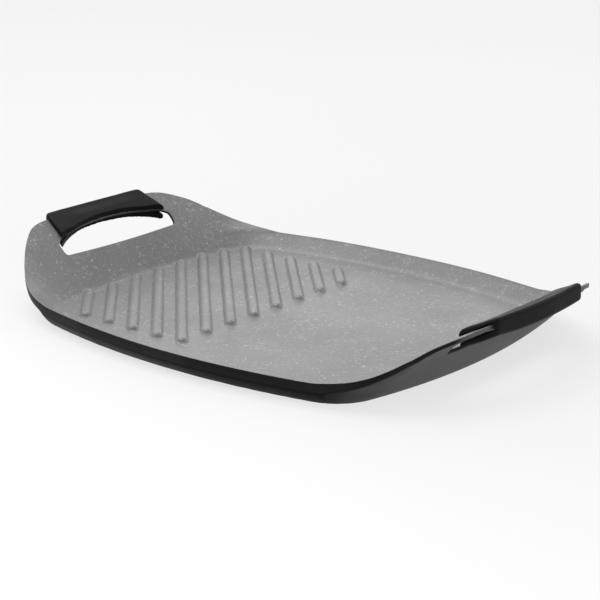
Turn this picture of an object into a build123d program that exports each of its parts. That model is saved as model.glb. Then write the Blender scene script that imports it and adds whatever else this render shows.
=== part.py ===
from build123d import *
import math
import os

# Double burner griddle: one cast plate with flared end walls, each pierced by a
# hand slot, and a push-on grip around the bar outside each slot.
# Millimetres. X runs along the length, Y across, Z up, and the origin is the
# middle of the resting face.

# ---- plan of the trimmed rim, one quarter from mid side to mid end ------------
RIM_PTS = [
    (0.0, 158.3), (50.1, 156.5), (97.2, 151.3), (138.8, 143.8), (171.6, 134.4),
    (194.9, 119.9), (212.2, 103.9), (225.6, 88.1), (231.6, 78.8), (235.0, 68.4),
    (236.6, 54.4), (237.6, 30.0), (238.0, 0.0),
]
SIDE_R = 660.0         # bow of the long sides
FOOT_END_R = 450.0     # bow of the ends at the foot
BAR_END_R = 20000.0    # the hand bar is all but straight
FOOT_CORNER_R, CORNER_R, CORNER_Z = 40.0, 60.0, 25.0     # corners in plan, opening out up to this height

# ---- end walls, top face -------------------------------------------------------
FLOOR_Z = 5.0
WALL_DEG = 53.0                 # slope of the end wall below the hand bar
BAR_DEG = 28.2                  # slope of the hand bar
WALL_X, WALL_Z = 202.2, 32.4    # a point on the top face of the end wall
BAR_X, BAR_Z = 225.6, 52.5      # a point on the top face of the hand bar
BEND_R = 45.0
PLATE_T = 3.2                   # plate thickness in the end walls

# ---- half width at mid length against height, inside and outside ---------------
INNER_Y = [(5.0, 144.5), (17.6, 158.2), (19.5, 158.7), (20.5, 160.3), (23.0, 165.0), (27.3, 169.5),
           (32.9, 172.3), (38.9, 174.2), (45.0, 178.0), (56.0, 186.0), (70.0, 196.0)]
OUTER_Y = [(0.0, 152.2), (8.9, 158.2), (11.3, 158.6), (13.0, 160.0), (16.2, 165.0), (21.3, 170.8),
           (27.6, 173.8), (34.3, 174.6), (41.0, 177.0), (52.0, 185.0), (66.0, 195.0)]
CAVITY_FILLET = 9.0
BASE_FILLET = 6.0

# ---- ridges ---------------------------------------------------------------------
RIDGES = 12
RIDGE_W0 = -171.2      # first ridge, measured square to the ridges
RIDGE_PITCH = 19.72
RIDGE_WIDTH = 9.2
RIDGE_H = 3.5
RIDGE_BOX = (-178.0, -18.0, -115.5, 117.0)   # x and y limits of the ridge ends
RIDGE_TURN = (-122.0, 86.0, 53.0)            # corner that the ridge ends keep inside: centre, radius

# ---- hand slots, cut square to the sheet ------------------------------------------
SLOT_DEG = 42.0
SLOT_PTS = [(202.2, 66.4), (210.6, 67.3), (214.6, 59.5), (217.4, 47.5), (220.2, 33.0),
            (222.0, 17.0), (222.6, 0.0)]     # half outline on the top face
SLOT_CORNER = 3.0

# ---- grips --------------------------------------------------------------------------
GAP = 0.35             # between the grip's channel and the plate
LIP_TOP = 3.7
CHAN_MOUTH = 2.0       # the channel opens by this much towards its mouth
LIP_BOT = 5.6
GRIP_OUT_X, GRIP_OUT_BOW = 240.6, 2.4
GRIP_OUT_HALF = 56.0
GRIP_IN_HALF = 62.1
LIP_PTS = [(211.8, 62.1), (213.6, 57.5), (216.2, 46.0), (219.0, 34.0), (221.2, 20.0), (222.3, 0.0)]
LOW_END_X, LOW_ARCH_X = 213.0, 230.5       # inner edge of the bottom lip
EDGE_R = 3.0

os.makedirs("parts", exist_ok=True)
WA, BA = math.radians(WALL_DEG), math.radians(BAR_DEG)


def end_profile(t):
    """half length against height of a face that lies t below the top face"""
    kw = WALL_X + t / math.sin(WA) - WALL_Z / math.tan(WA)
    kb = BAR_X + t / math.sin(BA) - BAR_Z / math.tan(BA)
    zi = (kw - kb) / (1 / math.tan(BA) - 1 / math.tan(WA))
    xi = kw + zi / math.tan(WA)
    tl = BEND_R * math.tan((WA - BA) / 2)
    z1, z2, x1 = zi - tl * math.sin(WA), zi + tl * math.sin(BA), xi - tl * math.cos(WA)

    def half_length(z):
        if z <= z1:
            return kw + z / math.tan(WA)
        if z >= z2:
            return kb + z / math.tan(BA)
        a = math.acos(math.cos(WA) + (z - z1) / BEND_R)
        return x1 + BEND_R * (math.sin(WA) - math.sin(a))

    return half_length, kw, xi, z1, z2


INNER_X, IN_FOOT, IN_BEND, IN_Z1, IN_Z2 = end_profile(0.0)
OUTER_X, OUT_FOOT, OUT_BEND, OUT_Z1, OUT_Z2 = end_profile(PLATE_T)
IN_FOOT = INNER_X(FLOOR_Z)


def lookup(table, z):
    for (z0, y0), (z1, y1) in zip(table, table[1:]):
        if z <= z1:
            break
    return y0 + (y1 - y0) * (z - z0) / (z1 - z0)


def top_face_z(x):
    """height of the end wall's top face at x, at mid width"""
    lo, hi = FLOOR_Z, 80.0
    for _ in range(50):
        m = (lo + hi) / 2
        lo, hi = (m, hi) if INNER_X(m) < x else (lo, m)
    return (lo + hi) / 2


def on_bar(x):
    return BAR_Z + (x - BAR_X) * math.tan(BA)


def outline(xe, ye, foot, bend, z):
    """rounded rectangle with bowed sides; the bow of its ends fades out towards the bar"""
    t = min(1.0, max(0.0, (xe - foot) / (bend - 3 - foot)))
    end_r = 1 / ((1 - t) / FOOT_END_R + t / BAR_END_R)
    x, y = xe, ye
    for _ in range(60):
        y = ye - SIDE_R + math.sqrt(SIDE_R ** 2 - x ** 2)
        x = xe - end_r + math.sqrt(end_r ** 2 - y ** 2)
    with BuildSketch(Plane.XY.offset(z)) as sk:
        with BuildLine():
            ThreePointArc((x, -y), (xe, 0), (x, y))
            ThreePointArc((x, y), (0, ye), (-x, y))
            ThreePointArc((-x, y), (-xe, 0), (-x, -y))
            ThreePointArc((-x, -y), (0, -ye), (x, -y))
        make_face()
        c = min(1.0, max(0.0, z / CORNER_Z))
        fillet(sk.vertices(), FOOT_CORNER_R + (CORNER_R - FOOT_CORNER_R) * c * c * (3 - 2 * c))
    return sk.sketch


# heights of the lofted outlines
IN_LEVELS = [5.0, 12.0, 17.6, 19.5, 23.0, 27.3, 32.9, 37.0, 40.5, 43.5, 46.0, 49.0, 53.0, 60.0, 68.0]
OUT_LEVELS = [0.0, 8.9, 11.3, 13.0, 16.2, 21.3, 27.6, 33.0, 36.5, 39.5, 42.0, 45.0, 50.0, 57.0, 64.0]

# ---- the cast plate ---------------------------------------------------------------
with BuildPart() as griddle_body:
    for z in OUT_LEVELS:
        add(outline(OUTER_X(z), lookup(OUTER_Y, z), OUT_FOOT, OUT_BEND, z))
    loft(ruled=True)
    fillet(griddle_body.faces().sort_by(Axis.Z)[0].edges(), BASE_FILLET)
    # trimmed upright all the way round, to the plan of the rim
    with BuildSketch(Plane.XY.offset(-1)) as plan:
        with BuildLine():
            q = RIM_PTS
            ring = list(q) + [(x, -y) for x, y in reversed(q[:-1])]
            ring += [(-x, -y) for x, y in q[1:]] + [(-x, y) for x, y in reversed(q[1:-1])]
            Spline(*ring, periodic=True)
        make_face()
    extrude(amount=80, mode=Mode.INTERSECT)

with BuildPart() as cavity:
    for z in IN_LEVELS:
        add(outline(INNER_X(z), lookup(INNER_Y, z), IN_FOOT, IN_BEND, z))
    loft(ruled=True)
    fillet(cavity.faces().sort_by(Axis.Z)[0].edges(), CAVITY_FILLET)

with BuildPart() as ridges:
    c45 = math.sqrt(0.5)
    xl, xr, yn, yf = RIDGE_BOX
    h, w = RIDGE_H, RIDGE_WIDTH
    rad = (h * h + w * w / 4) / (2 * h)
    mid_x = rad * math.sin(math.asin(min(1.0, w / 2 / rad)) / 2)
    mid_z = h - rad + math.sqrt(rad * rad - mid_x * mid_x)
    for i in range(RIDGES):
        s = (RIDGE_W0 + i * RIDGE_PITCH) / c45          # x + y along the ridge
        x0, x1 = max(xl, s - yf), min(xr, s - yn)
        tx, ty, tr = RIDGE_TURN
        while x0 < tx and s - x0 > ty and math.hypot(x0 - tx, s - x0 - ty) > tr:
            x0 += 0.25
        ax, ay, bx, by = x0, s - x0, x1, s - x1
        ln = math.hypot(bx - ax, by - ay) - w
        mx, my = (ax + bx) / 2, (ay + by) / 2
        # rounded section, run straight, with turned ends
        with BuildSketch(Plane(origin=(mx, my, FLOOR_Z), x_dir=(c45, c45, 0), z_dir=(-c45, c45, 0))):
            with BuildLine():
                ThreePointArc((-w / 2, 0), (0, h), (w / 2, 0))
                Polyline((w / 2, 0), (w / 2, -1), (-w / 2, -1), (-w / 2, 0))
            make_face()
        extrude(amount=ln / 2, both=True)
        for e in (-1, 1):
            ex, ey = mx - e * c45 * ln / 2, my + e * c45 * ln / 2
            with BuildSketch(Plane(origin=(ex, ey, FLOOR_Z), x_dir=(c45, c45, 0), z_dir=(-c45, c45, 0))):
                with BuildLine():
                    Line((0, -1), (0, h))
                    ThreePointArc((0, h), (mid_x, mid_z), (w / 2, 0))
                    Polyline((w / 2, 0), (w / 2, -1), (0, -1))
                make_face()
            revolve(axis=Axis((ex, ey, FLOOR_Z), (0, 0, 1)), revolution_arc=360)

with BuildPart() as slots:
    cs, ss = math.cos(math.radians(SLOT_DEG)), math.sin(math.radians(SLOT_DEG))
    ox, oz = 211.0, 42.5
    for side in (1, -1):
        pl = Plane(origin=(side * ox, 0, oz), x_dir=(cs, 0, side * ss), z_dir=(-side * ss, 0, cs))

        def flat(x, y):
            """point of the outline, given on the top face, carried square onto the cutting plane"""
            return ((x - ox) * cs + (top_face_z(x) - oz) * ss) * side, y

        with BuildSketch(pl) as slot:
            with BuildLine():
                a, b = flat(*SLOT_PTS[0]), flat(*SLOT_PTS[1])
                Line((a[0], -a[1]), a)
                Line(a, b)
                arch = [flat(*p) for p in SLOT_PTS[1:]]
                Spline(*(arch + [(u, -v) for u, v in reversed(arch[:-1])]))
                Line((b[0], -b[1]), (a[0], -a[1]))
            make_face()
            fillet(slot.vertices(), SLOT_CORNER)
        extrude(amount=14, both=True)

with griddle_body:
    add(cavity.part, mode=Mode.SUBTRACT)
    add(ridges.part)
    add(slots.part, mode=Mode.SUBTRACT)
griddle_body.part.label = "griddle_body"
export_step(griddle_body.part, "parts/griddle_body.step")

# ---- the two grips ------------------------------------------------------------------


def bar_pt(x, n):
    """point at plan position x on the plane n above the bar's top face"""
    return (x, on_bar(x) + n / math.cos(BA))


N_TOP = GAP + LIP_TOP
N_CH = -PLATE_T - GAP
N_LOW = N_CH - LIP_BOT
CHAN_X = RIM_PTS[-1][0] + GAP + 0.05

with BuildPart() as right_grip:
    # plan with slanted ends and a bowed outer edge, between the top and bottom planes
    with BuildSketch(Plane.XY.offset(10)) as foot_print:
        with BuildLine():
            Polyline((GRIP_OUT_X, GRIP_OUT_HALF), (205.0, 63.7), (205.0, -63.7), (GRIP_OUT_X, -GRIP_OUT_HALF))
            ThreePointArc((GRIP_OUT_X, -GRIP_OUT_HALF), (GRIP_OUT_X + GRIP_OUT_BOW, 0), (GRIP_OUT_X, GRIP_OUT_HALF))
        make_face()
        corner = foot_print.vertices().sort_by(Axis.X)[-2:]
        fillet(corner, 5.0)
    extrude(amount=80)
    with BuildSketch(Plane.XZ):
        with BuildLine():
            Polyline(bar_pt(200, N_TOP), bar_pt(250, N_TOP), bar_pt(250, N_LOW + 0.8), bar_pt(200, N_LOW - 1.2), close=True)
        make_face()
    extrude(amount=90, both=True, mode=Mode.INTERSECT)
    rim_edges = [e for e in right_grip.edges() if e.center().X > 208 and abs(e.tangent_at(0.5).Z) < 0.65]
    fillet(rim_edges, EDGE_R)
    # channel for the bar, open at its inner side and both ends
    with BuildSketch(Plane.XZ) as chan:
        with BuildLine():
            Polyline(bar_pt(200, GAP), bar_pt(CHAN_X, GAP), bar_pt(CHAN_X, N_CH),
                     bar_pt(222, N_CH - 0.55 * CHAN_MOUTH), bar_pt(200, N_CH - CHAN_MOUTH - 0.6), close=True)
        make_face()
        fillet(chan.vertices().sort_by(Axis.X)[-2:], 0.3)
    extrude(amount=90, both=True, mode=Mode.SUBTRACT)
    # arched inner edge of the top lip
    with BuildSketch(Plane.XY.offset(10)):
        with BuildLine():
            Spline(*(LIP_PTS + [(x, -y) for x, y in reversed(LIP_PTS[:-1])]))
            Polyline((LIP_PTS[0][0], -LIP_PTS[0][1]), (211.0, -70), (190, -70), (190, 70), (211.0, 70), LIP_PTS[0])
        make_face()
    extrude(amount=80, mode=Mode.SUBTRACT)
    # the bottom lip stops short of the bend
    with BuildSketch(Plane.XY.offset(10)) as relief:
        with BuildLine():
            Polyline((LOW_END_X, -GRIP_IN_HALF), (LOW_END_X, -70), (190, -70), (190, 70), (LOW_END_X, 70), (LOW_END_X, GRIP_IN_HALF))
            ThreePointArc((LOW_END_X, GRIP_IN_HALF), (LOW_ARCH_X, 0), (LOW_END_X, -GRIP_IN_HALF))
        make_face()
    cut = extrude(amount=80, mode=Mode.PRIVATE)
    with BuildSketch(Plane.XZ):
        with BuildLine():
            Polyline(bar_pt(180, -1.2), bar_pt(250, -1.2), (250, 10), (180, 10), close=True)
        make_face()
    below = extrude(amount=90, both=True, mode=Mode.PRIVATE)
    add(cut & below, mode=Mode.SUBTRACT)
right_grip.part.label = "right_grip"
export_step(right_grip.part, "parts/right_grip.step")

with BuildPart() as left_grip:
    mirror(right_grip.part, about=Plane.YZ)
left_grip.part.label = "left_grip"
export_step(left_grip.part, "parts/left_grip.step")

for p in (griddle_body, left_grip, right_grip):
    b = p.part.bounding_box()
    print(p.part.label, len(p.part.solids()), round(p.part.volume / 1000, 1), "cm3",
          [round(v, 2) for v in (b.min.X, b.min.Y, b.min.Z, b.max.X, b.max.Y, b.max.Z)])
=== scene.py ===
import math

import bpy
import numpy as np
from mathutils import Matrix, Vector
from mathutils.geometry import delaunay_2d_cdt
from mathutils.kdtree import KDTree


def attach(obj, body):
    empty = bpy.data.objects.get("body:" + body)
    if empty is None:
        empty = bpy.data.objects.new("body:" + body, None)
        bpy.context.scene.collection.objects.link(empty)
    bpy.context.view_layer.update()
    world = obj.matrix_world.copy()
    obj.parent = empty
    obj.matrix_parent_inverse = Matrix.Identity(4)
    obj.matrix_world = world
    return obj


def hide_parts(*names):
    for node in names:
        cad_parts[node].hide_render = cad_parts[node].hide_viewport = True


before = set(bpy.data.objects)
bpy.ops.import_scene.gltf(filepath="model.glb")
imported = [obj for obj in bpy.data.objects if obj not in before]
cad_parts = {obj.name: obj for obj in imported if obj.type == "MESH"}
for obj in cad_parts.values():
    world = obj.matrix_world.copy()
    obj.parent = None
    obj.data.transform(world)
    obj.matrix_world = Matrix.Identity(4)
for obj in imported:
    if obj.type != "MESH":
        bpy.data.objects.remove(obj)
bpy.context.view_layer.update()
scene = bpy.context.scene

# ---- camera -------------------------------------------------------------------
AZ, EL, ROLL = 41.5163, 17.6682, -1.0583      # degrees
DIST, SHIFT_R, SHIFT_U = 1.4501379, 0.0051398, 0.0154216      # metres
FOCAL_PX = 1761.4404

a, e, r = (math.radians(v) for v in (AZ, EL, ROLL))
back = Vector((math.sin(a) * math.cos(e), -math.cos(a) * math.cos(e), math.sin(e)))
right = Vector((math.cos(a), math.sin(a), 0.0))
up = back.cross(right)
cam_x = right * math.cos(r) + up * math.sin(r)
cam_y = -right * math.sin(r) + up * math.cos(r)
place = back * DIST + right * SHIFT_R + up * SHIFT_U
cam_data = bpy.data.cameras.new("camera")
cam_data.sensor_width = 36.0
cam_data.lens = FOCAL_PX * 36.0 / 600.0
cam_data.clip_start, cam_data.clip_end = 0.05, 60.0
cam = bpy.data.objects.new("camera", cam_data)
scene.collection.objects.link(cam)
cam.matrix_world = Matrix((
    (cam_x.x, cam_y.x, back.x, place.x),
    (cam_x.y, cam_y.y, back.y, place.y),
    (cam_x.z, cam_y.z, back.z, place.z),
    (0, 0, 0, 1)))
scene.camera = cam


# ---- the cast plate: a smooth top sheet, underside and trimmed edge (millimetres) --
RIM_PTS = [
    (0.0, 158.3), (50.1, 156.5), (97.2, 151.3), (138.8, 143.8), (171.6, 134.4),
    (194.9, 119.9), (212.2, 103.9), (225.6, 88.1), (231.6, 78.8), (235.0, 68.4),
    (236.6, 54.4), (237.6, 30.0), (238.0, 0.0),
]
SIDE_R, FOOT_END_R, BAR_END_R = 660.0, 450.0, 20000.0
FOOT_CORNER_R, CORNER_R, CORNER_Z = 40.0, 60.0, 25.0
FLOOR_Z, PLATE_T, BEND_R = 5.0, 3.2, 45.0
WA, BA = math.radians(53.0), math.radians(28.2)
WALL_X, WALL_Z, BAR_X, BAR_Z = 202.2, 32.4, 225.6, 52.5
INNER_Y = [(-30.0, 106.0), (5.0, 144.5), (17.6, 158.2), (19.5, 158.7), (20.5, 160.3), (23.0, 165.0), (27.3, 169.5),
           (32.9, 172.3), (38.9, 174.2), (45.0, 178.0), (56.0, 186.0), (70.0, 196.0), (95.0, 210.0)]
OUTER_Y = [(-30.0, 120.2), (0.0, 152.2), (8.9, 158.2), (11.3, 158.6), (13.0, 160.0), (16.2, 165.0), (21.3, 170.8),
           (27.6, 173.8), (34.3, 174.6), (41.0, 177.0), (52.0, 185.0), (66.0, 195.0), (95.0, 211.0)]
RIDGES, RIDGE_W0, RIDGE_PITCH = 12, -171.2, 19.72
RIDGE_HALF, RIDGE_H = 4.7, 4.4
RIDGE_BOX = (-178.0, -18.0, -115.5, 117.0)
RIDGE_TURN = (-122.0, 86.0, 53.0)
SLOT_PTS = [(202.2, 66.4), (210.6, 67.3), (214.6, 59.5), (217.4, 47.5), (220.2, 33.0), (222.0, 17.0), (222.6, 0.0)]
SLOT_SHIFT = 2.2       # the slots are cut square to the sheet, so their lower edge lies this much further out
ROUND = 0.6            # all trimmed edges


def end_profile(t):
    """half length against height of a face that lies t below the top face"""
    kw = WALL_X + t / math.sin(WA) - WALL_Z / math.tan(WA)
    kb = BAR_X + t / math.sin(BA) - BAR_Z / math.tan(BA)
    zi = (kw - kb) / (1 / math.tan(BA) - 1 / math.tan(WA))
    xi = kw + zi / math.tan(WA)
    tl = BEND_R * math.tan((WA - BA) / 2)
    z1, z2, x1 = zi - tl * math.sin(WA), zi + tl * math.sin(BA), xi - tl * math.cos(WA)

    def half_length(z):
        a = np.arccos(np.clip(math.cos(WA) + (z - z1) / BEND_R, -1, 1))
        bent = x1 + BEND_R * (math.sin(WA) - np.sin(a))
        return np.where(z <= z1, kw + z / math.tan(WA), np.where(z >= z2, kb + z / math.tan(BA), bent))

    return half_length, kw, xi


def softened(table, sigma=1.1):
    """the table as a smooth curve, sampled every quarter millimetre"""
    t = np.array(table)
    step = 0.25
    z = np.arange(t[0, 0], t[-1, 0] + step, step)
    y = np.interp(z, t[:, 0], t[:, 1])
    k = np.arange(-16, 17)
    w = np.exp(-0.5 * (k * step / sigma) ** 2)
    w /= w.sum()
    padded = np.concatenate([y[0] - (y[16:0:-1] - y[0]), y, y[-1] + (y[-1] - y[-2:-18:-1])])
    return z, np.convolve(padded, w, "valid")


def height(x, y, half_length, foot, bend, table):
    """height of a lofted face over the plan point"""
    x, y = np.abs(x), np.abs(y)
    tz, ty = table
    lo, hi = np.full(x.shape, -28.0), np.full(x.shape, 88.0)
    for _ in range(30):
        z = (lo + hi) / 2
        ex, ey = half_length(z), np.interp(z, tz, ty)
        t = np.clip((ex - foot) / (bend - 3 - foot), 0, 1)
        er = 1 / ((1 - t) / FOOT_END_R + t / BAR_END_R)
        # corner circle, tangent inside to the side's arc and the end's arc
        ax, ay, bx, by = 0.0, ey - SIDE_R, ex - er, 0.0
        c = np.clip(z / CORNER_Z, 0, 1)
        rc = FOOT_CORNER_R + (CORNER_R - FOOT_CORNER_R) * c * c * (3 - 2 * c)
        ra, rb = SIDE_R - rc, er - rc
        dx, dy = bx - ax, by - ay
        dist = np.hypot(dx, dy)
        along = (ra ** 2 - rb ** 2 + dist ** 2) / (2 * dist)
        off = np.sqrt(np.maximum(ra ** 2 - along ** 2, 0))
        c1x, c1y = ax + along * dx / dist - off * dy / dist, ay + along * dy / dist + off * dx / dist
        c2x, c2y = ax + along * dx / dist + off * dy / dist, ay + along * dy / dist - off * dx / dist
        first = c1x > c2x
        cx, cy = np.where(first, c1x, c2x), np.where(first, c1y, c2y)
        side = np.hypot(x - ax, y - ay) - SIDE_R
        end = np.hypot(x - bx, y - by) - er
        corner = np.hypot(x - cx, y - cy) - rc
        in_end = np.arctan2(y - by, x - bx) <= np.arctan2(cy - by, cx - bx)
        in_side = np.arctan2(y - ay, x - ax) >= np.arctan2(cy - ay, cx - ax)
        out = np.where(in_end, end, np.where(in_side, side, corner)) > 0
        lo, hi = np.where(out, z, lo), np.where(out, hi, z)
    return (lo + hi) / 2


def soft_max(a, b, k):
    h = np.maximum(k - np.abs(a - b), 0) / k
    return np.maximum(a, b) + h * h * k / 4


IN_X, _, IN_BEND = end_profile(0.0)
OUT_X, OUT_FOOT, OUT_BEND = end_profile(PLATE_T)
IN_FOOT = float(IN_X(np.array(FLOOR_Z)))
IN_TABLE, OUT_TABLE = softened(INNER_Y), softened(OUTER_Y)


def ridge_ends():
    c = math.sqrt(0.5)
    xl, xr, yn, yf = RIDGE_BOX
    tx, ty, tr = RIDGE_TURN
    for i in range(RIDGES):
        s = (RIDGE_W0 + i * RIDGE_PITCH) / c
        x0, x1 = max(xl, s - yf), min(xr, s - yn)
        while x0 < tx and s - x0 > ty and math.hypot(x0 - tx, s - x0 - ty) > tr:
            x0 += 0.25
        g = RIDGE_HALF * c
        yield (x0 + g, s - x0 - g), (x1 - g, s - x1 + g)


def top_z(x, y):
    z = soft_max(np.full(x.shape, FLOOR_Z), height(x, y, IN_X, IN_FOOT, IN_BEND, IN_TABLE), 3.2)
    best = np.full(x.shape, 1e3)
    for (ax, ay), (bx, by) in ridge_ends():
        vx, vy = bx - ax, by - ay
        t = np.clip(((x - ax) * vx + (y - ay) * vy) / (vx * vx + vy * vy), 0, 1)
        best = np.minimum(best, np.hypot(x - ax - t * vx, y - ay - t * vy))
    bead = FLOOR_Z - 0.25 + RIDGE_H * np.sqrt(np.maximum(1 - (best / RIDGE_HALF) ** 2, 0))
    bead = np.where(best < RIDGE_HALF, bead, FLOOR_Z - 0.25 - (best - RIDGE_HALF) * 3)
    return np.where(best < RIDGE_HALF + 2, soft_max(z, bead, 0.9), z)


def low_z(x, y):
    return soft_max(np.zeros(x.shape), height(x, y, OUT_X, OUT_FOOT, OUT_BEND, OUT_TABLE), 5.0)


def ring(points, step):
    """smooth closed curve through the points, evenly sampled"""
    p = np.array(points, float)
    n = len(p)
    h = np.linalg.norm(np.roll(p, -1, 0) - p, axis=1)
    a = np.zeros((n, n))
    r = np.zeros((n, 2))
    for i in range(n):
        hp, hn = h[i - 1], h[i]
        a[i, i - 1] += hp
        a[i, i] += 2 * (hp + hn)
        a[i, (i + 1) % n] += hn
        r[i] = 6 * ((p[(i + 1) % n] - p[i]) / hn - (p[i] - p[i - 1]) / hp)
    m = np.linalg.solve(a, r)
    out = []
    for i in range(n):
        j = (i + 1) % n
        for u in np.linspace(0, h[i], 60, endpoint=False):
            v = h[i] - u
            out.append(m[i] * v ** 3 / (6 * h[i]) + m[j] * u ** 3 / (6 * h[i])
                       + (p[i] / h[i] - m[i] * h[i] / 6) * v + (p[j] / h[i] - m[j] * h[i] / 6) * u)
    return even(np.array(out), step)


def even(p, step):
    q = np.vstack([p, p[:1]])
    s = np.concatenate([[0], np.cumsum(np.linalg.norm(np.diff(q, axis=0), axis=1))])
    n = int(round(s[-1] / step))
    t = np.linspace(0, s[-1], n, endpoint=False)
    return np.stack([np.interp(t, s, q[:, 0]), np.interp(t, s, q[:, 1])], 1)


def fillet(p0, c, p1, r, n=10):
    """arc that rounds the corner c between the directions to p0 and p1"""
    p0, c, p1 = (np.array(v, float) for v in (p0, c, p1))
    a, b = (p0 - c) / np.linalg.norm(p0 - c), (p1 - c) / np.linalg.norm(p1 - c)
    half = math.acos(np.clip(a @ b, -1, 1)) / 2
    mid = (a + b) / np.linalg.norm(a + b)
    o = c + mid * r / math.sin(half)
    s, e = c + a * r / math.tan(half) - o, c + b * r / math.tan(half) - o
    pts = []
    for k in range(n + 1):
        v = s * (1 - k / n) + e * k / n
        pts.append(o + v / np.linalg.norm(v) * r)
    return pts


def slot_loop(side):
    arch = [np.array(q) for q in SLOT_PTS[1:]]
    full = arch + [np.array((q[0], -q[1])) for q in reversed(arch[:-1])]
    # smooth arch through its points (natural cubic on chord length)
    p = np.array(full)
    h = np.linalg.norm(np.diff(p, axis=0), axis=1)
    n = len(p)
    a, r = np.eye(n), np.zeros((n, 2))
    for i in range(1, n - 1):
        a[i, i - 1], a[i, i], a[i, i + 1] = h[i - 1], 2 * (h[i - 1] + h[i]), h[i]
        r[i] = 6 * ((p[i + 1] - p[i]) / h[i] - (p[i] - p[i - 1]) / h[i - 1])
    m = np.linalg.solve(a, r)
    curve = []
    for i in range(n - 1):
        for u in np.linspace(0, h[i], 24, endpoint=False):
            v = h[i] - u
            curve.append(m[i] * v ** 3 / (6 * h[i]) + m[i + 1] * u ** 3 / (6 * h[i])
                         + (p[i] / h[i] - m[i] * h[i] / 6) * v + (p[i + 1] / h[i] - m[i + 1] * h[i] / 6) * u)
    curve.append(p[-1])
    curve = np.array(curve)
    inner, outer = np.array(SLOT_PTS[0]), p[0]
    near = curve[np.linalg.norm(curve - outer, axis=1) > 4.0][0]
    c1 = fillet((inner[0], 0), inner, outer, 3.0)
    c2 = fillet(inner, outer, near, 3.0)
    keep = curve[(np.linalg.norm(curve - p[0], axis=1) > 3.6) & (np.linalg.norm(curve - p[-1], axis=1) > 3.6)]
    flip = lambda pts: [np.array((q[0], -q[1])) for q in reversed(pts)]
    loop = np.array(c1 + c2 + list(keep) + flip(c2) + flip(c1))
    return even(loop, 1.0) * np.array([side, 1.0])


def inward(loop, into_hole):
    """unit normals that point into the material"""
    t = np.roll(loop, -1, 0) - np.roll(loop, 1, 0)
    t /= np.linalg.norm(t, axis=1)[:, None]
    n = np.stack([-t[:, 1], t[:, 0]], 1)
    area = 0.5 * np.sum(loop[:, 0] * np.roll(loop[:, 1], -1) - np.roll(loop[:, 0], -1) * loop[:, 1])
    if area < 0:
        n = -n          # now towards the loop's inside
    return -n if into_hole else n


def lower_plan(x, y):
    """the underside's plan points move outward near the slots, with their tilted cut"""
    ax, ay = np.abs(x), np.abs(y)

    def step(v, lo, hi):
        t = np.clip((v - lo) / (hi - lo), 0, 1)
        return t * t * (3 - 2 * t)

    w = step(ax, 182.0, 200.0) * (1 - step(ax, 224.5, 234.0)) * (1 - step(ay, 67.0, 84.0))
    return x + np.sign(x) * SLOT_SHIFT * w, y


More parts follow.
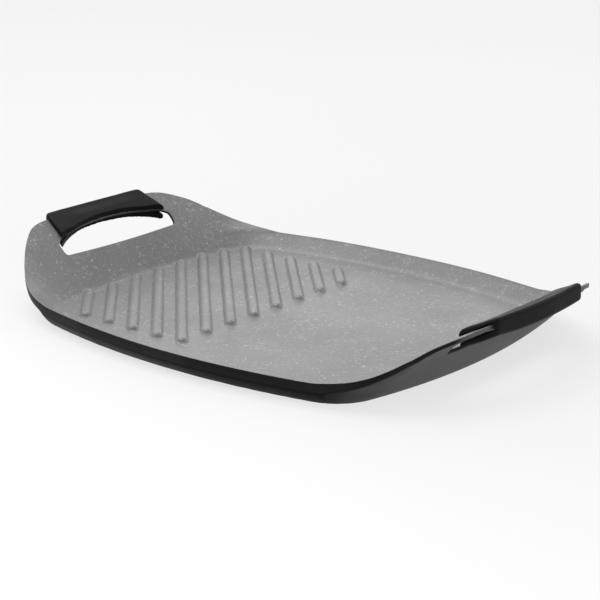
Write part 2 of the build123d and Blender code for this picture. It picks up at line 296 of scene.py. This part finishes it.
def plate():
    q = RIM_PTS
    rim = list(q) + [(x, -y) for x, y in reversed(q[:-1])]
    rim += [(-x, -y) for x, y in q[1:]] + [(-x, y) for x, y in reversed(q[1:-1])]
    loops = [(ring(rim, 1.6), False), (slot_loop(1), True), (slot_loop(-1), True)]
    rounds = [0.0, 0.08, 0.24, 0.42, ROUND, 1.3]

    edge_pts, edge_d, cons, first = [], [], [], []
    for loop, hole in loops:
        nrm = inward(loop, hole)
        for k, d in enumerate(rounds):
            base = sum(len(e) for e in edge_pts)
            if k == 0:
                first.append(np.arange(base, base + len(loop)))
            edge_pts.append(loop + nrm * d)
            edge_d.append(np.full(len(loop), d))
            idx = np.arange(base, base + len(loop))
            if k in (0, 4):
                cons += list(zip(idx.tolist(), np.roll(idx, -1).tolist()))
    edge = np.vstack(edge_pts)
    dist = np.concatenate(edge_d)
    tree = KDTree(len(edge))
    for i, (x, y) in enumerate(edge):
        tree.insert((x, y, 0), i)
    tree.balance()
    polys = [loop for loop, _ in loops]

    def within(p, poly):
        inside = np.zeros(len(p), bool)
        x, y = p[:, 0], p[:, 1]
        x0, y0 = poly[-1]
        for x1, y1 in poly:
            if y0 != y1:
                hit = ((y0 > y) != (y1 > y)) & (x < (x1 - x0) * (y - y0) / (y1 - y0) + x0)
                inside ^= hit
            x0, y0 = x1, y1
        return inside

    def fill(spacing, ridged):
        xs = np.arange(-238, 238.01, spacing)
        ys = np.arange(-158, 158.01, spacing * 0.87)
        gx, gy = np.meshgrid(xs, ys)
        gx[1::2] += spacing / 2
        p = np.stack([gx.ravel(), gy.ravel()], 1)
        if ridged:
            xl, xr, yn, yf = RIDGE_BOX
            box = (xl - 4, xr + 4, yn - 4, yf + 4)
            out = (p[:, 0] < box[0]) | (p[:, 0] > box[1]) | (p[:, 1] < box[2]) | (p[:, 1] > box[3])
            p = p[out]
            w = np.arange(-300, 140, 0.62)
            v = np.arange(-220, 220, 1.9)
            gw, gv = np.meshgrid(w, v)
            gv[:, 1::2] += 0.95
            c = math.sqrt(0.5)
            r = np.stack([((gw - gv) * c).ravel(), ((gw + gv) * c).ravel()], 1)
            keep = (r[:, 0] > box[0]) & (r[:, 0] < box[1]) & (r[:, 1] > box[2]) & (r[:, 1] < box[3])
            p = np.vstack([p, r[keep]])
        p = p[within(p, polys[0]) & ~within(p, polys[1]) & ~within(p, polys[2])]
        near = np.array([tree.find((x, y, 0))[2] for x, y in p])
        return p[near > spacing * 0.55]

    def sheet(spacing, ridged):
        p = np.vstack([edge, fill(spacing, ridged)])
        d = np.concatenate([dist, np.full(len(p) - len(edge), 99.0)])
        verts, _, faces, origin, _, _ = delaunay_2d_cdt([Vector(v) for v in p.tolist()], cons, [], 0, 1e-7)
        src = np.array([o[0] if o else -1 for o in origin])
        good = []
        for f in faces:
            if any(d[src[i]] > 0 for i in f):
                good.append([int(src[i]) for i in f])
        return p, d, np.array(good)

    pt, dt, ft = sheet(1.9, True)
    pb, db, fb = sheet(3.0, False)

    def drop(d):
        r = ROUND
        k = np.clip(r - d, 0, r)
        return r - np.sqrt(np.maximum(r * r - k * k, 0))

    zt = top_z(pt[:, 0], pt[:, 1]) - drop(dt)
    bx, by = lower_plan(pb[:, 0], pb[:, 1])
    zb = low_z(bx, by) + drop(db)
    top = np.stack([pt[:, 0], pt[:, 1], zt], 1)
    low = np.stack([bx, by, zb], 1)

    def facing(v, f, up):
        a, b, c = v[f[:, 0]], v[f[:, 1]], v[f[:, 2]]
        z = (b[:, 0] - a[:, 0]) * (c[:, 1] - a[:, 1]) - (b[:, 1] - a[:, 1]) * (c[:, 0] - a[:, 0])
        wrong = (z < 0) if up else (z > 0)
        f = f.copy()
        f[wrong] = f[wrong][:, ::-1]
        return f

    ft, fb = facing(top, ft, True), facing(low, fb, False)
    off = len(top)
    walls = []
    for k, idx in enumerate(first):
        nxt = np.roll(idx, -1)
        loop = edge[idx]
        area = np.sum(loop[:, 0] * np.roll(loop[:, 1], -1) - np.roll(loop[:, 0], -1) * loop[:, 1])
        ccw = (area > 0) == (k == 0)
        for i, j in zip(idx.tolist(), nxt.tolist()):
            walls.append((i + off, j + off, j, i) if ccw else (j + off, i + off, i, j))
    faces = ft.tolist() + (fb + off).tolist() + walls
    mesh = bpy.data.meshes.new("plate_cast")
    verts = np.vstack([top, low]) / 1000.0
    mesh.from_pydata(verts.tolist(), [], faces)
    kind = np.concatenate([np.zeros(len(ft), int), np.ones(len(fb), int), np.full(len(walls), 2)])
    mesh.polygons.foreach_set("material_index", kind.astype(np.int32))
    mesh.polygons.foreach_set("use_smooth", np.ones(len(faces), bool))
    mesh.update()
    o = bpy.data.objects.new("plate_cast", mesh)
    scene.collection.objects.link(o)
    return o


# ---- node helper ----------------------------------------------------------------
class Nodes:
    """a short way to write a shader tree"""

    def __init__(self, name):
        self.mat = bpy.data.materials.new(name)
        self.mat.use_nodes = True
        self.tree = self.mat.node_tree
        self.tree.nodes.clear()
        self.out = self.tree.nodes.new("ShaderNodeOutputMaterial")

    def add(self, kind, _in=None, **props):
        n = self.tree.nodes.new(kind)
        for k, v in props.items():
            setattr(n, k, v)
        for k, v in (_in or {}).items():
            self.put(n.inputs[k], v)
        return n

    def put(self, socket, v):
        if isinstance(v, bpy.types.NodeSocket):
            self.tree.links.new(v, socket)
        else:
            socket.default_value = v

    def math(self, op, x, y=0.0, z=0.0, clamp=False):
        n = self.add("ShaderNodeMath", operation=op, use_clamp=clamp)
        self.put(n.inputs[0], x)
        self.put(n.inputs[1], y)
        self.put(n.inputs[2], z)
        return n.outputs[0]

    def ramp(self, x, lo, hi, out_lo=0.0, out_hi=1.0, smooth=True):
        n = self.add("ShaderNodeMapRange", {"Value": x, "From Min": lo, "From Max": hi, "To Min": out_lo, "To Max": out_hi})
        n.interpolation_type = "SMOOTHSTEP" if smooth else "LINEAR"
        return n.outputs["Result"]

    def mix(self, fac, x, y):
        n = self.add("ShaderNodeMix", data_type="RGBA")
        self.put(n.inputs["Factor"], fac)
        self.put(n.inputs[6], x)
        self.put(n.inputs[7], y)
        return n.outputs[2]

    def noise(self, where, scale, detail=2.0, rough=0.5):
        return self.add("ShaderNodeTexNoise", {"Vector": where, "Scale": scale, "Detail": detail, "Roughness": rough}).outputs["Fac"]

    def flecks(self, where, scale, size, chance):
        """specks: one per cell at most, of random size; size is the largest radius in cells"""
        v = self.add("ShaderNodeTexVoronoi", {"Vector": where, "Scale": scale})
        c = self.add("ShaderNodeSeparateColor", {"Color": v.outputs["Color"]})
        there = self.math("GREATER_THAN", chance, c.outputs[0])
        radius = self.ramp(c.outputs[1], 0.0, 1.0, size * 0.35, size, smooth=False)
        edge = self.math("SUBTRACT", radius, v.outputs["Distance"])
        soft = self.ramp(edge, 0.0, size * 0.3)
        return self.math("MULTIPLY", there, soft)


def grey(v):
    return (v, v, v, 1.0)


# ---- materials --------------------------------------------------------------------
def coating():
    """speckled stone-look coating of the cooking side"""
    n = Nodes("coating_inside")
    pos = n.add("ShaderNodeTexCoord").outputs["Object"]
    # warp the place a little so that the flecks aren't round
    w = n.add("ShaderNodeTexNoise", {"Vector": pos, "Scale": 600.0, "Detail": 2.0})
    warp = n.add("ShaderNodeVectorMath", operation="MULTIPLY_ADD")
    n.put(warp.inputs[0], w.outputs["Color"])
    n.put(warp.inputs[1], (0.0024, 0.0024, 0.0024))
    n.put(warp.inputs[2], pos)
    p = warp.outputs[0]
    cluster = n.noise(pos, 75.0, 3.0, 0.6)
    thick = n.ramp(cluster, 0.38, 0.62, 0.15, 0.8)
    light1 = n.flecks(p, 240.0, 0.30, thick)
    light2 = n.flecks(p, 430.0, 0.36, thick)
    blotch = n.noise(p, 300.0, 3.0, 0.65)
    pale = n.ramp(n.math("ADD", blotch, n.math("MULTIPLY", cluster, 0.35)), 0.74, 0.86)
    dim = n.ramp(n.noise(p, 360.0, 3.0, 0.6), 0.60, 0.72)
    dark1 = n.flecks(p, 380.0, 0.32, n.ramp(cluster, 0.38, 0.62, 0.5, 0.2))
    grain = n.noise(pos, 1500.0, 2.0, 0.6)
    mottle = n.noise(pos, 11.0, 3.0, 0.55)
    base = n.mix(n.ramp(grain, 0.3, 0.7), grey(0.165), grey(0.216))
    base = n.mix(n.ramp(mottle, 0.35, 0.65, 0.0, 0.4), base, grey(0.145))
    x = n.add("ShaderNodeSeparateXYZ", {"Vector": pos}).outputs["X"]
    base = n.mix(n.ramp(n.math("ABSOLUTE", x), 0.203, 0.226, 0.0, 0.60), base, grey(0.075))      # painted shade: the coating is made darker at the bars, where they catch less light
    base = n.mix(n.math("MULTIPLY", dim, 0.45), base, grey(0.085))
    base = n.mix(n.math("MULTIPLY", dark1, 0.40), base, grey(0.06))
    base = n.mix(n.math("MULTIPLY", pale, 0.42), base, grey(0.36))
    base = n.mix(n.math("MULTIPLY", light2, 0.38), base, grey(0.44))
    base = n.mix(n.math("MULTIPLY", light1, 0.50), base, grey(0.50))
    rough = n.ramp(mottle, 0.3, 0.7, 0.38, 0.46)
    height = n.math("ADD", n.math("MULTIPLY", grain, 0.5), n.math("MULTIPLY", light1, 0.3))
    bump = n.add("ShaderNodeBump", {"Strength": 0.22, "Distance": 0.0003, "Height": height})
    s = n.add("ShaderNodeBsdfPrincipled", {"Base Color": base, "Roughness": rough, "Normal": bump.outputs[0]})
    s.inputs["Specular IOR Level"].default_value = 0.5
    n.tree.links.new(s.outputs[0], n.out.inputs[0])
    return n.mat


def outside():
    """satin dark coating of the underside, near black; the greyer tone under the ends is painted light, the bright
    floor's reflection
    """
    n = Nodes("coating_outside")
    pos = n.add("ShaderNodeTexCoord").outputs["Object"]
    grain = n.noise(pos, 900.0, 3.0, 0.6)
    wide = n.noise(pos, 16.0, 3.0, 0.55)
    face = n.add("ShaderNodeSeparateXYZ", {"Vector": n.add("ShaderNodeTexCoord").outputs["Normal"]})
    # painted reflection: faces that point along X, under the ends, get a lighter colour for the bright floor they
    # reflect
    ends = n.ramp(n.math("ABSOLUTE", face.outputs["X"]), 0.30, 0.62)
    dark = n.mix(n.ramp(grain, 0.35, 0.65), grey(0.0030), grey(0.0050))
    # painted reflection: the lighter colour of the end undersides
    lighter = n.mix(n.ramp(grain, 0.35, 0.65), grey(0.060), grey(0.082))
    lighter = n.mix(n.ramp(wide, 0.35, 0.65, 0.0, 0.4), lighter, grey(0.092))
    y = n.add("ShaderNodeSeparateXYZ", {"Vector": pos}).outputs["Y"]
    # painted shade: the end undersides darken towards the corners, standing for the reflected contact shadow there
    lighter = n.mix(n.ramp(n.math("ABSOLUTE", y), 0.02, 0.13, 0.0, 0.65), lighter, grey(0.018))
    color = n.mix(ends, dark, lighter)
    rough = n.ramp(wide, 0.3, 0.7, 0.42, 0.52)
    bump = n.add("ShaderNodeBump", {"Strength": 0.15, "Distance": 0.0002, "Height": grain})
    s = n.add("ShaderNodeBsdfPrincipled", {"Base Color": color, "Roughness": rough, "Normal": bump.outputs[0]})
    s.inputs["Specular IOR Level"].default_value = 0.07
    n.tree.links.new(s.outputs[0], n.out.inputs[0])
    return n.mat


def trimmed():
    """the trimmed edge: dark along the sides; lighter where it runs round the ends, which is painted light, a
    reflection of the bright side
    """
    n = Nodes("coating_edge")
    pos = n.add("ShaderNodeTexCoord").outputs["Object"]
    grain = n.noise(pos, 1100.0, 3.0, 0.6)
    wide = n.noise(pos, 22.0, 3.0, 0.55)
    x = n.add("ShaderNodeSeparateXYZ", {"Vector": pos}).outputs["X"]
    # painted reflection: the edge round the ends gets a lighter colour for the bright surroundings it faces
    ends = n.ramp(n.math("ABSOLUTE", x), 0.226, 0.2335)
    dark = n.mix(n.ramp(grain, 0.35, 0.65), grey(0.005), grey(0.008))
    lighter = n.mix(n.ramp(grain, 0.35, 0.65), grey(0.11), grey(0.15))
    color = n.mix(ends, dark, lighter)
    color = n.mix(n.ramp(wide, 0.4, 0.7, 0.0, 0.25), color, grey(0.03))
    rough = n.ramp(grain, 0.3, 0.7, 0.38, 0.48)
    bump = n.add("ShaderNodeBump", {"Strength": 0.15, "Distance": 0.0002, "Height": grain})
    s = n.add("ShaderNodeBsdfPrincipled", {"Base Color": color, "Roughness": rough, "Normal": bump.outputs[0]})
    s.inputs["Specular IOR Level"].default_value = 0.1
    n.tree.links.new(s.outputs[0], n.out.inputs[0])
    return n.mat


def rubber():
    """matt black silicone"""
    n = Nodes("grip_look")
    pos = n.add("ShaderNodeTexCoord").outputs["Object"]
    fine = n.noise(pos, 1800.0, 2.0, 0.6)
    wide = n.noise(pos, 35.0, 3.0, 0.6)
    color = n.mix(n.ramp(wide, 0.35, 0.65), grey(0.0022), grey(0.0036))
    rough = n.ramp(wide, 0.3, 0.7, 0.46, 0.58)
    bump = n.add("ShaderNodeBump", {"Strength": 0.2, "Distance": 0.0002, "Height": fine})
    s = n.add("ShaderNodeBsdfPrincipled", {"Base Color": color, "Roughness": rough, "Normal": bump.outputs[0]})
    s.inputs["Specular IOR Level"].default_value = 0.12
    n.tree.links.new(s.outputs[0], n.out.inputs[0])
    return n.mat


def sleeve(name, body):
    """the moulded grip: softened edges, a crowned outer side and fuller inner corners"""
    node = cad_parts[name]
    raw = bpy.data.objects.new(name + "_raw", node.data.copy())
    scene.collection.objects.link(raw)
    m = raw.modifiers.new("remesh", "REMESH")
    m.mode = "VOXEL"
    m.voxel_size = 0.0006
    m = raw.modifiers.new("smooth", "SMOOTH")
    m.factor, m.iterations = 0.5, 4
    bpy.context.view_layer.update()
    mesh = bpy.data.meshes.new_from_object(raw.evaluated_get(bpy.context.evaluated_depsgraph_get()))
    bpy.data.objects.remove(raw)
    mesh.name = name + "_sleeve"
    v = np.empty(len(mesh.vertices) * 3)
    mesh.vertices.foreach_get("co", v)
    v = v.reshape(-1, 3)
    x, y, z = np.abs(v[:, 0]) * 1000, v[:, 1] * 1000, v[:, 2] * 1000

    def step(t, lo, hi):
        t = np.clip((t - lo) / (hi - lo), 0, 1)
        return t * t * (3 - 2 * t)

    n = (z - BAR_Z - (x - BAR_X) * math.tan(BA)) * math.cos(BA)      # height over the bar
    mid = np.clip(1 - (y / 56.0) ** 2, 0, 1)
    out = step(x, 226.0, 238.0)
    over, under = 1.9 * step(n, 1.0, 3.6), 3.0 * step(-n, 4.5, 8.5)
    web = step(x, 238.8, 240.4) * (1.9 + 1.1 * np.clip((1 - n) / 10, 0, 1))
    dz = -mid * np.maximum(np.maximum(out * over, out * under), web)
    dz += 0.9 * step(np.abs(y), 40.0, 56.0) * (1 - step(x, 216.0, 230.0)) * step(n, 1.0, 3.6)
    dz += 1.5 * step(-n, 3.9, 4.5) * (1 - step(x, 217.0, 232.0))        # the lower lip hugs the bar
    v[:, 2] += dz / 1000
    mesh.vertices.foreach_set("co", v.ravel())
    mesh.polygons.foreach_set("use_smooth", np.ones(len(mesh.polygons), bool))
    mesh.materials.clear()
    mesh.materials.append(grip_mat)
    mesh.update()
    o = bpy.data.objects.new(name + "_sleeve", mesh)
    scene.collection.objects.link(o)
    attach(o, body)
    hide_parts(name)


grip_mat = rubber()
sleeve("left_grip", "grip_l")
sleeve("right_grip", "grip_r")

body = plate()
for m in (coating(), outside(), trimmed()):
    body.data.materials.append(m)
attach(body, "griddle")
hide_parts("griddle_body")


# ---- floor: a pale table, a little translucent and lit from below ------------------
def floor():
    n = Nodes("floor_look")
    pos = n.add("ShaderNodeTexCoord").outputs["Object"]
    soft = n.noise(pos, 1.2, 2.0, 0.5)
    place = n.add("ShaderNodeSeparateXYZ", {"Vector": pos})
    side = n.ramp(place.outputs["X"], 0.02, 0.30)          # painted light: the floor glows more and is darker to the right, so shadows fade there
    front = n.ramp(place.outputs["Y"], 0.05, -0.35)          # painted light: it also glows more in front, so the table is paler there
    color = n.mix(n.ramp(soft, 0.3, 0.7), grey(0.155), grey(0.165))
    color = n.mix(side, color, grey(0.11))
    s = n.add("ShaderNodeBsdfPrincipled", {"Base Color": color, "Roughness": 0.7})
    s.inputs["Specular IOR Level"].default_value = 0.1
    s.inputs["Emission Color"].default_value = grey(1.0)
    # painted light: the floor's glow rises to the right and in front
    n.put(s.inputs["Emission Strength"], n.math("MULTIPLY_ADD", side, 0.075, n.math("MULTIPLY_ADD", front, 0.08, 0.68)))
    n.tree.links.new(s.outputs[0], n.out.inputs[0])
    mesh = bpy.data.meshes.new("floor")
    k = 12.0
    mesh.from_pydata([(-k, -k, 0), (k, -k, 0), (k, k, 0), (-k, k, 0)], [], [(0, 1, 2, 3)])
    mesh.materials.append(n.mat)
    o = bpy.data.objects.new("floor", mesh)
    scene.collection.objects.link(o)


floor()

# ---- light: soft from above, brighter behind, dimmer towards the front ---------------
world = bpy.data.worlds.new("studio")
scene.world = world
world.use_nodes = True
wt = world.node_tree
bg = wt.nodes["Background"]
bg.inputs[0].default_value = grey(1.0)
co = wt.nodes.new("ShaderNodeTexCoord")
dot = wt.nodes.new("ShaderNodeVectorMath")
dot.operation = "DOT_PRODUCT"
wt.links.new(co.outputs["Generated"], dot.inputs[0])
dot.inputs[1].default_value = (-0.64, 0.70, 0.32)
fade = wt.nodes.new("ShaderNodeMapRange")
fade.interpolation_type = "SMOOTHSTEP"
for k, v in (("From Min", -0.5), ("From Max", 0.95), ("To Min", 0.52), ("To Max", 1.40)):
    fade.inputs[k].default_value = v
wt.links.new(dot.outputs["Value"], fade.inputs["Value"])
high = wt.nodes.new("ShaderNodeSeparateXYZ")
wt.links.new(co.outputs["Generated"], high.inputs[0])
dim = wt.nodes.new("ShaderNodeMapRange")
dim.interpolation_type = "SMOOTHSTEP"
for k, v in (("From Min", 0.42), ("From Max", 0.78), ("To Min", 1.0), ("To Max", 0.50)):
    dim.inputs[k].default_value = v
wt.links.new(high.outputs["Z"], dim.inputs["Value"])
glow = wt.nodes.new("ShaderNodeMath")
glow.operation = "MULTIPLY"
wt.links.new(fade.outputs["Result"], glow.inputs[0])
wt.links.new(dim.outputs["Result"], glow.inputs[1])
wt.links.new(glow.outputs[0], bg.inputs[1])


def area(name, where, look, size, power):
    d = bpy.data.lights.new(name, "AREA")
    d.shape = "RECTANGLE"
    d.size, d.size_y = size
    d.energy = power
    o = bpy.data.objects.new(name, d)
    scene.collection.objects.link(o)
    o.location = where
    o.rotation_mode = "QUATERNION"
    o.rotation_quaternion = (Vector(look) - Vector(where)).to_track_quat("-Z", "Y")
    return o


area("softbox_top", (-0.60, -0.05, 2.1), (0.0, 0.0, 0.0), (2.2, 1.8), 45.0)

scene.view_settings.view_transform = "Standard"
scene.view_settings.look = "None"
scene.view_settings.exposure = 0.0
scene.view_settings.gamma = 1.0
